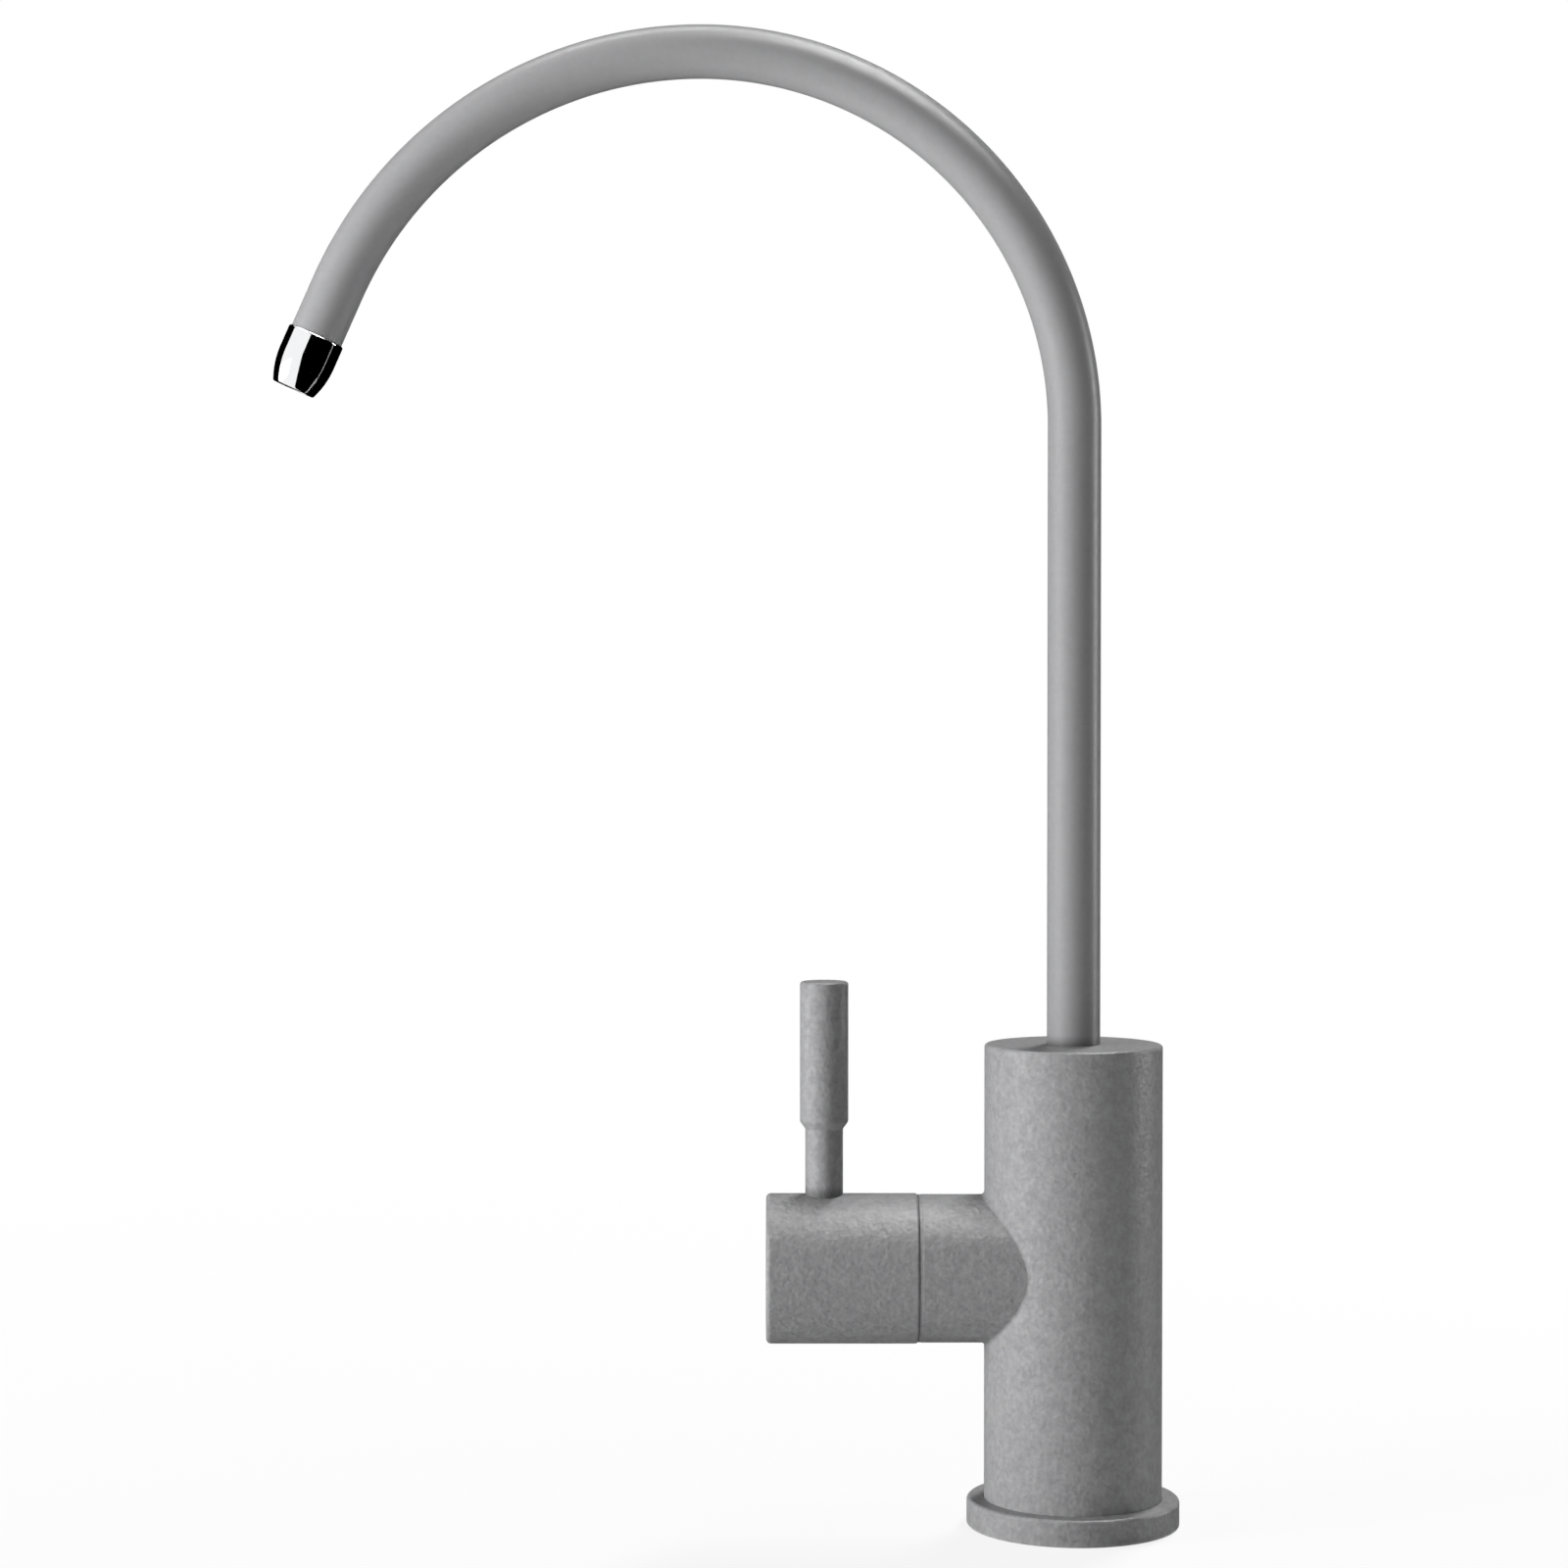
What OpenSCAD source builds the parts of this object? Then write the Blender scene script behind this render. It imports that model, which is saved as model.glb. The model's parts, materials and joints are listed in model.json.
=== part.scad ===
// Drinking water filter tap: a deck-mounted column with a swivelling swan-neck spout
// and a quarter-turn ceramic-disc valve worked by a pin lever on a side barrel.
// Millimetres. +Z is up, the origin is the centre of the base flange's underside,
// and the spout and the valve barrel point along -X.

/* [Column] */
// Diameter of the upright column
body_d = 36.8; // [34:0.2:44]
// Height of the column from its foot to its flat top
body_h = 96; // [94:1:130]
// Rounding of the column's top edge
body_edge_r = 0.6; // [0.2:0.1:1.5]
// Height of the valve barrel's axis above the column's foot
barrel_rise = 49.5; // [46:0.5:52]
// Depth of the socket in the column's top that takes the spout
spout_socket_depth = 32.2; // [30:0.2:34]
// Diameter of the waterway from the shank to the valve seat
waterway_d = 6; // [4:0.2:6.4]
// Diameter of the gallery drilled from the valve chamber to the spout
gallery_d = 4; // [3:0.2:4.6]

/* [Base flange] */
// How far the base flange stands out round the column
flange_lip = 3.6; // [2:0.2:10]
// Thickness of the base flange
flange_t = 5.6; // [4.5:0.1:8]
// Depth of the recess in the flange that the column stands in
flange_seat = 2; // [1:0.25:2.5]
// Rounding of the flange's upper edge
flange_edge_r = 0.8; // [0.2:0.1:1.4]
// Width of the flange's rim outside the gasket
flange_rim = 2; // [1.5:0.25:4]
// Thickness of the gasket under the flange
gasket_t = 1.5; // [0.8:0.1:1.8]
// Radial width of the gasket
gasket_w = 7; // [4:0.5:8]

/* [Deck mounting] */
// Outer diameter of the threaded shank
shank_d = 11.1; // [10.5:0.1:14]
// Length of the shank below the deck's upper face
shank_drop = 50; // [44:1:90]
// Depth that the shank is screwed into the column
shank_hold = 14; // [10:1:18]
// Bore of the shank, which takes the supply tube
inlet_d = 6.5; // [5:0.1:7]
// Thickness of the deck that the tap is clamped to
deck_t = 12; // [1:0.5:16]
// Diameter of the washers under the deck
deck_washer_d = 30; // [24:1:44]
// Thickness of the rubber washer under the deck
deck_seal_t = 3; // [1:0.25:5]
// Thickness of the steel washer under the deck
deck_washer_t = 1.5; // [0.8:0.1:3]
// Lock nut's size across its flats
lock_nut_af = 19; // [17:0.5:24]
// Lock nut's thickness
lock_nut_t = 6; // [4:0.5:8]

/* [Valve barrel] */
// Diameter of the column's side branch
branch_d = 30.5; // [27:0.1:33]
// Reach of the side branch from the column's axis
branch_l = 32; // [30:0.2:40]
// Diameter of the turning hub
hub_d = 30.9; // [29.6:0.1:36]
// Length of the turning hub
hub_l = 31.4; // [30:0.1:45]
// Running gap between the branch and the hub
hub_gap = 0.2; // [0.15:0.05:0.9]
// Wall of the hub round its hollow
hub_wall = 2.2; // [1.4:0.1:2.5]
// Rounding of the hub's outer end
hub_edge_r = 1; // [0.3:0.1:3]
// Rounding of the two edges where the branch and the hub meet
parting_edge_r = 0.6; // [0.2:0.1:1]

/* [Lever] */
// Distance of the lever's axis from the hub's outer end
lever_setback = 12; // [10:0.1:13]
// Diameter of the lever's grip
lever_d = 10; // [8.8:0.1:14]
// Length of the lever's grip
lever_grip_l = 29; // [15:1:60]
// Length of the taper between the stem and the grip
lever_taper_l = 1.5; // [0.5:0.1:4]
// Diameter of the lever's stem
lever_stem_d = 7.8; // [7:0.1:8.6]
// Length of the stem from its seat in the hub to the taper
lever_stem_l = 15; // [8:0.2:30]
// Rounding of the lever's top edge
lever_edge_r = 0.6; // [0.2:0.1:2]
// Thread diameter of the lever and of the set screw under it
lever_thread_d = 6; // [5:0.5:6]

/* [Spout] */
// Outer diameter of the spout tube
tube_d = 11; // [10:0.1:12.7]
// Wall of the spout tube
tube_wall = 1; // [0.7:0.05:1.2]
// Height of the arch's crown above the column's top
spout_rise = 210; // [180:0.5:320]
// Bend radius of the rising half of the arch
rise_bend_r = 77; // [50:1:110]
// Bend radius of the falling half of the arch
fall_bend_r = 82; // [50:1:120]
// Angle between the outlet and the upright
tip_lean = 24; // [0:0.5:45]
// Straight length of tube between the bend and the nozzle
tube_tail_l = 10.5; // [10:0.5:50]

/* [Outlet nozzle] */
// How far the nozzle stands proud of the tube all round
nozzle_lip = 0.45; // [0:0.05:1.5]
// Diameter of the nozzle's mouth end
nozzle_tip_d = 8.9; // [8:0.1:10]
// Length of the nozzle that shows
nozzle_l = 12; // [9:0.5:25]
// Length of the nozzle's straight band
nozzle_band_l = 4.8; // [2:0.2:7]
// Length of the plug that holds the nozzle in the tube
nozzle_plug_l = 8; // [6:0.5:10]
// Wall of that plug
nozzle_wall = 1.3; // [1.1:0.05:1.6]

/* [Spout foot] */
// Width of the lands between the foot's grooves
foot_land = 1.6; // [1:0.1:2.2]
// Length of the foot brazed into the tube
foot_plug_l = 10; // [6:1:14]
// Bore of the foot
foot_bore_d = 5.2; // [4:0.1:5.4]
// Section of the two O-rings on the foot
foot_seal_d = 1.6; // [1.2:0.1:1.7]
// Width of the split ring that snaps into the column
split_ring_w = 2.8; // [1.5:0.1:3.4]
// How far the split ring reaches into the column's groove
split_ring_bite = 0.8; // [0.4:0.1:1.5]

/* [Ceramic valve] */
// Diameter of the valve chamber in the branch
chamber_d = 19.2; // [18:0.1:19.6]
// Depth of the valve seat behind the branch's face
chamber_depth = 25.7; // [25:0.1:26.5]
// Diameter of the ceramic discs
disc_d = 13; // [12:0.1:13.4]
// Thickness of the fixed disc
fixed_disc_t = 3; // [2:0.1:3.2]
// Thickness of the turning disc
turning_disc_t = 3.7; // [3:0.1:3.9]
// Thickness of the rubber seat under the discs
seat_seal_t = 1.7; // [1.2:0.1:1.9]
// Diameter of the spindle
spindle_d = 8; // [7.2:0.1:8.4]
// Quarter turn between closed and open
valve_turn = 90; // [80:1:95]

/* [Clearances] */
// Radial running clearance of parts that turn
running = 0.05; // [0.02:0.01:0.08]
// Clearance of parts that are only slipped together
slip = 0.1; // [0.05:0.01:0.15]

/* [Hidden] */
$fn = 96;

coat = "#8e8e90";
brass = "#c8a456";
chrome = "#e6e8ea";
steel = "#b4b7ba";
rubber = "#2a2a2b";
acetal = "#ececea";
ceramic = "#f4f1ea";

// Overshoot of a cut past the face that it opens
past = 1;
// What a groove is wider than the O-ring in it
seal_groove_play = 0.4;

// Column
body_r = body_d / 2;
body_z0 = flange_t - flange_seat;
body_top = body_z0 + body_h;
barrel_z = body_z0 + barrel_rise;
waterway_r = waterway_d / 2;

// Base flange
flange_r = body_r + flange_lip;
flange_foot_r = 0.4;
gasket_pocket_r = flange_r - flange_rim;

// Shank and clamp
shank_r = shank_d / 2;
shank_seal_t = 1.5;
shank_seal_play = 0.5;
shank_top = body_z0 + shank_hold - shank_seal_t;
shank_hole_play = 0.45;
shank_chamfer = 0.8;
deck_seal_z = -deck_t - deck_seal_t;
deck_washer_z = deck_seal_z - deck_washer_t;
lock_nut_z = deck_washer_z - lock_nut_t;
undercut_w = 1.5;
undercut_depth = 0.6;
undercut_z = lock_nut_z - 2 * undercut_w;

// Distances along the barrel are measured from the column's axis towards -X
branch_r = branch_d / 2;
chamber_r = chamber_d / 2;
disc_r = disc_d / 2;
spindle_r = spindle_d / 2;
seat_u = branch_l - chamber_depth;
fixed_disc_u = seat_u + seat_seal_t;
turning_disc_u = fixed_disc_u + fixed_disc_t + running;
drive_u = turning_disc_u + turning_disc_t + running;
paddle_t = 2.4;
paddle_w = 5;
collar_t = 1;
collar_u = drive_u + paddle_t;
tongue_w = 3;
tongue_l = 1.5;
thrust_washer_u = collar_u + collar_t + running;
thrust_washer_t = 0.8;
pocket_u = thrust_washer_u + thrust_washer_t + running;
disc_rim = 1.5;
disc_port_ri = 1.6;
disc_port_ro = disc_r - disc_rim;
disc_port_angle = 72;
seat_seal_ri = disc_port_ro + 2 * slip;

// Gland
gland_nose_gap = 1;
gland_nose_u = seat_u + gland_nose_gap;
gland_nose_wall = 1.6;
gland_nose_r = disc_r + running + gland_nose_wall;
gland_thread_depth = 0.9;
gland_thread_l = 8.5;
gland_thread_u = branch_l - gland_thread_l;
gland_thread_r = chamber_r + gland_thread_depth;
gland_land_r = chamber_r - slip;
gland_land_l = 3.6;
gland_land_u = gland_thread_u - gland_land_l;
gland_seal_d = 1.5;
gland_seal_u = gland_land_u + gland_land_l / 2;
gland_groove_w = gland_seal_d + seal_groove_play;
gland_hex_t = 3.5;
gland_hex_lip = 0.25;
gland_hex_af = 2 * (gland_thread_r + gland_hex_lip);
gland_neck_r = 7;
gland_neck_l = 6;
gland_neck_u = branch_l + gland_hex_t + gland_neck_l;
gland_window_w = 7;
gland_window_lead = 1;
spindle_bore_r = spindle_r + running;

// Stops that end the quarter turn: the spindle's tab points down when the valve is closed
stop_t = 1.6;
stop_washer_w = 1.2;
stop_ri = spindle_r + stop_washer_w;
stop_tab_angle = 40;
stop_play = 1.5;
stop_free_angle = valve_turn + stop_tab_angle + 2 * stop_play;
gland_crown_u = gland_neck_u + stop_t;
clip_u = gland_crown_u + slip;
clip_t = 0.8;
clip_groove_depth = 1;
clip_groove_r = spindle_r - clip_groove_depth;
clip_w = 2.8;
clip_angle = 260;
key_depth = 0.7;

// Hub
hub_r = hub_d / 2;
hub_u0 = branch_l + hub_gap;
hub_u1 = hub_u0 + hub_l;
hub_cavity_r = hub_r - hub_wall;
hub_cavity_play = 0.9;
hub_cavity_u = clip_u + clip_t + hub_cavity_play;
hub_end_t = 4.5;
hub_socket_u = hub_u1 - hub_end_t;
guide_ring_play = 0.4;
guide_ring_u = branch_l + gland_hex_t + guide_ring_play;
guide_ring_l = gland_neck_l - 2 * guide_ring_play;

// Spindle: its square end is milled from the round
spindle_square = spindle_d / sqrt(2) - running;
spindle_end_play = 0.5;
spindle_square_u = hub_cavity_u - spindle_end_play;
spindle_end_u = hub_socket_u - spindle_end_play;
spindle_seal_d = 1.3;
spindle_seal_lead = 2;
spindle_seal_pitch = 4;
spindle_seal_u = [for (i = [0, 1]) gland_thread_u + spindle_seal_lead + i * spindle_seal_pitch];

// Lever: heights are measured from the barrel's axis
lever_u = hub_u1 - lever_setback;
lever_seat_depth = 1.45;
lever_seat_h = hub_r - lever_seat_depth;
lever_thread_l = 5;
lever_thread_r = lever_thread_d / 2;
lever_stem_r = lever_stem_d / 2;
lever_r = lever_d / 2;
lever_taper_h = lever_seat_h + lever_stem_l;
lever_grip_h = lever_taper_h + lever_taper_l;
lever_top_h = lever_grip_h + lever_grip_l;
set_screw_h = spindle_square / 2 + running;
set_screw_l = 5.2;
set_screw_key_af = 3;
set_screw_key_depth = 2.6;

// Spout
tube_r = tube_d / 2;
tube_ri = tube_r - tube_wall;
spout_bore_r = tube_r + running;
spout_seat_z = body_top - spout_socket_depth;
spout_ledge = 1.5;
well_r = tube_r - spout_ledge;
well_depth = 5.3;
arch_z = body_top + spout_rise - tube_r;
rise_z = arch_z - rise_bend_r;
fall_z = arch_z - fall_bend_r;
fall_sweep = 90 - tip_lean;
bend_end = [-rise_bend_r - fall_bend_r * cos(tip_lean), 0, fall_z + fall_bend_r * sin(tip_lean)];
// The tail is sized for the nozzle after bending, so its wall is a little thinner
tail_trim = 0.04;
tail_lap = 0.5;

// Foot of the spout: two O-ring grooves below the split ring's groove, with lands between
foot_z = spout_seat_z + 2 * slip;
foot_groove_w = foot_seal_d + seal_groove_play;
foot_seal_z = [for (i = [0, 1]) foot_z + (i + 1) * foot_land + (i + 0.5) * foot_groove_w];
split_groove_w = split_ring_w + slip;
split_ring_z = foot_z + 3 * foot_land + 2 * foot_groove_w + split_groove_w / 2;
split_ring_seat = 1.3;
split_ring_ri = tube_r - split_ring_seat;
split_ring_gap_angle = 50;
foot_l = 4 * foot_land + 2 * foot_groove_w + split_groove_w;
foot_plug_r = tube_ri - running;
tube_z = foot_z + foot_l;

// Nozzle: heights run down the outlet from the nozzle's shoulder
nozzle_r = tube_r + nozzle_lip;
nozzle_tip_r = nozzle_tip_d / 2;
nozzle_taper_l = nozzle_l - nozzle_band_l;
nozzle_taper_w = nozzle_r - nozzle_tip_r;
nozzle_curve_r = (nozzle_taper_l ^ 2 + nozzle_taper_w ^ 2) / (2 * nozzle_taper_w);
nozzle_plug_r = tube_ri - running;
nozzle_bore_r = nozzle_plug_r - nozzle_wall;
nozzle_tip_wall = 0.7;
nozzle_mouth_r = nozzle_tip_r - nozzle_tip_wall;
nozzle_edge = 0.4;
nozzle_seal_d = 0.7;
nozzle_seal_h = nozzle_plug_l / 2;
straightener_t = 4;
straightener_inset = 1.2;
straightener_h = nozzle_l - straightener_t - straightener_inset;
straightener_hole_r = 0.62;
straightener_pitch_r = 1.95;

// Places a child along the valve barrel: its z runs outwards and its x points up
module along_barrel(u) {
    translate([0, 0, barrel_z]) rotate([0, -90, 0]) translate([0, 0, u]) children();
}

// Places a child on the outlet's axis, with its z along the outflow from the nozzle's shoulder
module along_outlet(h) {
    translate(bend_end) rotate([0, 180 + tip_lean, 0])
        translate([0, 0, tube_tail_l + running + h]) children();
}

// Places a child upright on the lever's axis, at a height above the barrel's axis
module along_lever(h) {
    translate([-lever_u, 0, barrel_z + h]) children();
}

module ring(ro, ri, h) {
    difference() {
        cylinder(r = ro, h = h);
        translate([0, 0, -past]) cylinder(r = ri, h = h + 2 * past);
    }
}

module o_ring(inner_r, section) {
    rotate_extrude() translate([inner_r + section / 2, 0]) circle(d = section, $fn = 48);
}

// What a groove centred on z = 0 takes off a round bar
module groove(bar_r, floor_r, w) {
    translate([0, 0, -w / 2]) ring(bar_r + past, floor_r, w);
}

// Part of a ring, swept from an angle
module sector(ro, ri, h, from, sweep) {
    rotate([0, 0, from]) rotate_extrude(angle = sweep) translate([ri, 0]) square([ro - ri, h]);
}

module square_bar(af, h) {
    translate([-af / 2, -af / 2, 0]) cube([af, af, h]);
}

module hex_prism(af, h) {
    cylinder(r = af / 2 / cos(30), h = h, $fn = 6);
}

// What rounding an outer corner takes off a turned profile: up is 1 at a top corner, -1 at a bottom one
module corner_round(x, z, r, up = 1) {
    translate([x - r, z - up * r]) difference() {
        translate([0, up > 0 ? 0 : -r - past]) square([r + past, r + past]);
        circle(r = r, $fn = 64);
    }
}

// A solid cylinder drilled between two points of the XZ plane
module drill_between(a, b, r) {
    run = b - a;
    translate(a) rotate([0, atan2(run[0], run[2]), 0]) cylinder(r = r, h = norm(run));
}

// The tube's ring section, with its wall thinned by a trim on both faces
module tube_section(trim = 0) {
    difference() {
        circle(r = tube_r - trim);
        circle(r = tube_ri + trim);
    }
}

// Column with its side branch, the spout socket, the valve chamber and the waterways
module body() {
    color(coat) difference() {
        union() {
            rotate_extrude() difference() {
                translate([0, body_z0]) square([body_r, body_h]);
                corner_round(body_r, body_top, body_edge_r);
            }
            along_barrel(0) rotate_extrude() difference() {
                square([branch_r, branch_l]);
                corner_round(branch_r, branch_l, parting_edge_r);
            }
        }
        translate([0, 0, spout_seat_z]) cylinder(r = spout_bore_r, h = spout_socket_depth + past);
        translate([0, 0, split_ring_z])
            cylinder(r = tube_r + split_ring_bite + slip, h = split_ring_w + 2 * slip, center = true);
        translate([0, 0, spout_seat_z - well_depth]) cylinder(r = well_r, h = well_depth + past);
        along_barrel(seat_u) cylinder(r = chamber_r, h = chamber_depth + past);
        along_barrel(gland_thread_u) cylinder(r = gland_thread_r, h = gland_thread_l + past);
        along_barrel(0) cylinder(r = waterway_r, h = seat_u + past);
        translate([0, 0, body_z0 + past]) cylinder(r = waterway_r, h = barrel_rise - past);
        translate([0, 0, body_z0 - past]) cylinder(r = shank_r + slip, h = shank_hold + past);
        drill_between(
            [-seat_u - gallery_d, 0, barrel_z + chamber_r - gallery_d / 2],
            [0, 0, spout_seat_z - gallery_d / 2], gallery_d / 2);
    }
}

// Round escutcheon between the column and the deck
module base_flange() {
    hole_r = shank_r + shank_hole_play;
    color(coat) rotate_extrude() difference() {
        translate([hole_r, 0]) square([flange_r - hole_r, flange_t]);
        corner_round(flange_r, flange_t, flange_edge_r);
        corner_round(flange_r, 0, flange_foot_r, up = -1);
        translate([0, body_z0]) square([body_r + slip, flange_seat + past]);
        translate([gasket_pocket_r - gasket_w, -past]) square([gasket_w, gasket_t + past]);
    }
}

module base_gasket() {
    color(rubber) ring(gasket_pocket_r - slip, gasket_pocket_r - gasket_w + slip, gasket_t);
}

// Hollow stud that clamps the tap to the deck and takes the supply at its lower end
module inlet_shank() {
    lead = shank_chamfer;
    color(brass) rotate_extrude() difference() {
        translate([inlet_d / 2, -shank_drop]) square([shank_r - inlet_d / 2, shank_drop + shank_top]);
        translate([shank_r - undercut_depth, undercut_z]) square([shank_r, undercut_w]);
        polygon([
            [shank_r - lead, -shank_drop - past],
            [shank_r - lead, -shank_drop],
            [shank_r, -shank_drop + lead],
            [shank_r + past, -shank_drop + lead],
            [shank_r + past, -shank_drop - past]
        ]);
    }
}

module shank_seal() {
    color(rubber) translate([0, 0, shank_top]) ring(shank_r, inlet_d / 2 + shank_seal_play, shank_seal_t);
}

module deck_seal() {
    color(rubber) translate([0, 0, deck_seal_z]) ring(deck_washer_d / 2, shank_r + slip, deck_seal_t);
}

module deck_washer() {
    color(steel) translate([0, 0, deck_washer_z])
        ring(deck_washer_d / 2, shank_r + 2 * slip, deck_washer_t);
}

// Hexagon nut with chamfered corners
module lock_nut() {
    corner_r = lock_nut_af / 2 / cos(30);
    drop = (corner_r - lock_nut_af / 2) * tan(30);
    color(brass) translate([0, 0, lock_nut_z]) difference() {
        intersection() {
            hex_prism(lock_nut_af, lock_nut_t);
            rotate_extrude() polygon([
                [0, 0],
                [lock_nut_af / 2, 0],
                [corner_r, drop],
                [corner_r, lock_nut_t - drop],
                [lock_nut_af / 2, lock_nut_t],
                [0, lock_nut_t]
            ]);
        }
        translate([0, 0, -past]) cylinder(r = shank_r + slip, h = lock_nut_t + 2 * past);
    }
}

// Cartridge housing: a windowed nose round the discs, a sealed land, a thread, a hexagon and a neck
// whose crown stops the spindle's tab
module valve_gland() {
    color(brass) along_barrel(0) difference() {
        union() {
            rotate_extrude() difference() {
                polygon([
                    [disc_r + running, gland_nose_u],
                    [gland_nose_r, gland_nose_u],
                    [gland_nose_r, gland_land_u],
                    [gland_land_r, gland_land_u],
                    [gland_land_r, gland_thread_u],
                    [gland_thread_r - slip, gland_thread_u],
                    [gland_thread_r - slip, branch_l + gland_hex_t / 2],
                    [gland_neck_r, branch_l + gland_hex_t / 2],
                    [gland_neck_r, gland_crown_u],
                    [stop_ri, gland_crown_u],
                    [stop_ri, gland_neck_u],
                    [spindle_bore_r, gland_neck_u],
                    [spindle_bore_r, pocket_u],
                    [disc_r + running, pocket_u]
                ]);
                translate([gland_land_r - gland_seal_d, gland_seal_u - gland_groove_w / 2])
                    square([gland_seal_d + past, gland_groove_w]);
            }
            translate([0, 0, branch_l]) difference() {
                hex_prism(gland_hex_af, gland_hex_t);
                translate([0, 0, -past]) cylinder(r = spindle_bore_r + past, h = gland_hex_t + 2 * past);
            }
        }
        translate([-chamber_r, -gland_window_w / 2, drive_u - gland_window_lead])
            cube([chamber_d, gland_window_w, gland_window_lead + paddle_t]);
        translate([0, 0, gland_neck_u])
            sector(gland_neck_r + past, spindle_bore_r, stop_t + past,
                180 - stop_free_angle + stop_tab_angle / 2 + stop_play, stop_free_angle);
    }
}

module gland_seal() {
    color(rubber) along_barrel(gland_seal_u) o_ring(gland_land_r - gland_seal_d, gland_seal_d);
}

module thrust_washer() {
    color(acetal) along_barrel(thrust_washer_u) ring(disc_r, spindle_r + slip, thrust_washer_t);
}

// Two opposite ports through a ceramic disc, the first centred on an angle
module disc_ports(h, angle) {
    for (turn = [0, 180])
        rotate([0, 0, angle + turn]) translate([0, 0, -past])
            sector(disc_port_ro, disc_port_ri, h + 2 * past, -disc_port_angle / 2, disc_port_angle);
}

module fixed_disc() {
    color(ceramic) along_barrel(fixed_disc_u) difference() {
        cylinder(r = disc_r, h = fixed_disc_t);
        disc_ports(fixed_disc_t, 0);
    }
}

module seat_seal() {
    color(rubber) along_barrel(seat_u) ring(disc_r, seat_seal_ri, seat_seal_t);
}

// Turning cup that carries the lever and drives the spindle's square end
module handle_hub() {
    color(coat) difference() {
        along_barrel(0) rotate_extrude() difference() {
            translate([0, hub_u0]) square([hub_r, hub_l]);
            corner_round(hub_r, hub_u1, hub_edge_r);
            corner_round(hub_r, hub_u0, parting_edge_r, up = -1);
        }
        along_barrel(hub_u0 - past) cylinder(r = hub_cavity_r, h = hub_cavity_u - hub_u0 + past);
        along_barrel(hub_cavity_u - past)
            square_bar(spindle_square + 2 * running, hub_socket_u - hub_cavity_u + past);
        along_lever(0) cylinder(r = lever_thread_r + running, h = hub_r);
        along_lever(lever_seat_h) cylinder(r = lever_stem_r + running, h = lever_seat_depth + past);
    }
}

// Pin lever turned from one bar: thread, stem, taper and grip
module lever() {
    color(coat) along_lever(0) rotate_extrude() difference() {
        polygon([
            [0, lever_seat_h - lever_thread_l],
            [lever_thread_r, lever_seat_h - lever_thread_l],
            [lever_thread_r, lever_seat_h],
            [lever_stem_r, lever_seat_h],
            [lever_stem_r, lever_taper_h],
            [lever_r, lever_grip_h],
            [lever_r, lever_top_h],
            [0, lever_top_h]
        ]);
        corner_round(lever_r, lever_top_h, lever_edge_r);
    }
}

// Grub screw under the lever that locks the hub on the spindle
module hub_set_screw() {
    color(steel) along_lever(set_screw_h) difference() {
        cylinder(r = lever_thread_r, h = set_screw_l);
        translate([0, 0, set_screw_l - set_screw_key_depth])
            hex_prism(set_screw_key_af, set_screw_key_depth + past);
    }
}

// Plain bearing between the hub and the gland's neck
module hub_guide_ring() {
    color(acetal) along_barrel(guide_ring_u)
        ring(hub_cavity_r - running, gland_neck_r + running, guide_ring_l);
}

// Outline of the spindle where the stop washer is keyed on it
module keyed_round(r) {
    difference() {
        circle(r = r);
        translate([-r - past, -r]) square([key_depth + past, 2 * r]);
    }
}

// A flat bar across the spindle's inner end, rounded to clear the gland
module drive_bar(w, h) {
    intersection() {
        cylinder(r = disc_r - slip, h = h);
        translate([-disc_r, -w / 2, 0]) cube([disc_d, w, h]);
    }
}

// Spindle with its drive paddle and tongue, seal grooves, keyed stretch and square end
module valve_spindle() {
    color(brass) difference() {
        union() {
            along_barrel(drive_u - tongue_l) drive_bar(tongue_w, tongue_l);
            along_barrel(drive_u) drive_bar(paddle_w, paddle_t);
            along_barrel(collar_u) cylinder(r = disc_r - slip, h = collar_t);
            along_barrel(collar_u) cylinder(r = spindle_r, h = gland_neck_u - collar_u);
            along_barrel(gland_neck_u)
                linear_extrude(spindle_square_u - gland_neck_u) keyed_round(spindle_r);
            along_barrel(spindle_square_u) square_bar(spindle_square, spindle_end_u - spindle_square_u);
        }
        for (u = spindle_seal_u)
            along_barrel(u)
                groove(spindle_r, spindle_r - spindle_seal_d, spindle_seal_d + seal_groove_play);
        along_barrel(clip_u + clip_t / 2) groove(spindle_r, clip_groove_r, clip_t + 2 * running);
    }
}

module spindle_seals() {
    color(rubber) for (u = spindle_seal_u)
        along_barrel(u) o_ring(spindle_r - spindle_seal_d, spindle_seal_d);
}

// Open ring that keeps the spindle in the gland
module spindle_clip() {
    inner_r = clip_groove_r + running;
    color(steel) along_barrel(clip_u)
        sector(inner_r + clip_w, inner_r, clip_t, 180 - clip_angle / 2, clip_angle);
}

// Keyed washer whose tab meets the gland's stops at either end of the turn
module stop_washer() {
    tab_reach = 2 * gland_neck_r;
    tab_spread = tab_reach * tan(stop_tab_angle / 2);
    color(brass) along_barrel(gland_neck_u + running) linear_extrude(stop_t - running) difference() {
        union() {
            circle(r = stop_ri - running);
            intersection() {
                circle(r = gland_neck_r);
                polygon([[0, 0], [-tab_reach, -tab_spread], [-tab_reach, tab_spread]]);
            }
        }
        keyed_round(spindle_r + running);
    }
}

module turning_disc() {
    color(ceramic) along_barrel(turning_disc_u) difference() {
        cylinder(r = disc_r, h = turning_disc_t);
        disc_ports(turning_disc_t, 90);
        translate([-disc_r - past, -tongue_w / 2 - running, turning_disc_t - tongue_l])
            cube([disc_d + 2 * past, tongue_w + 2 * running, tongue_l + past]);
    }
}

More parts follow.
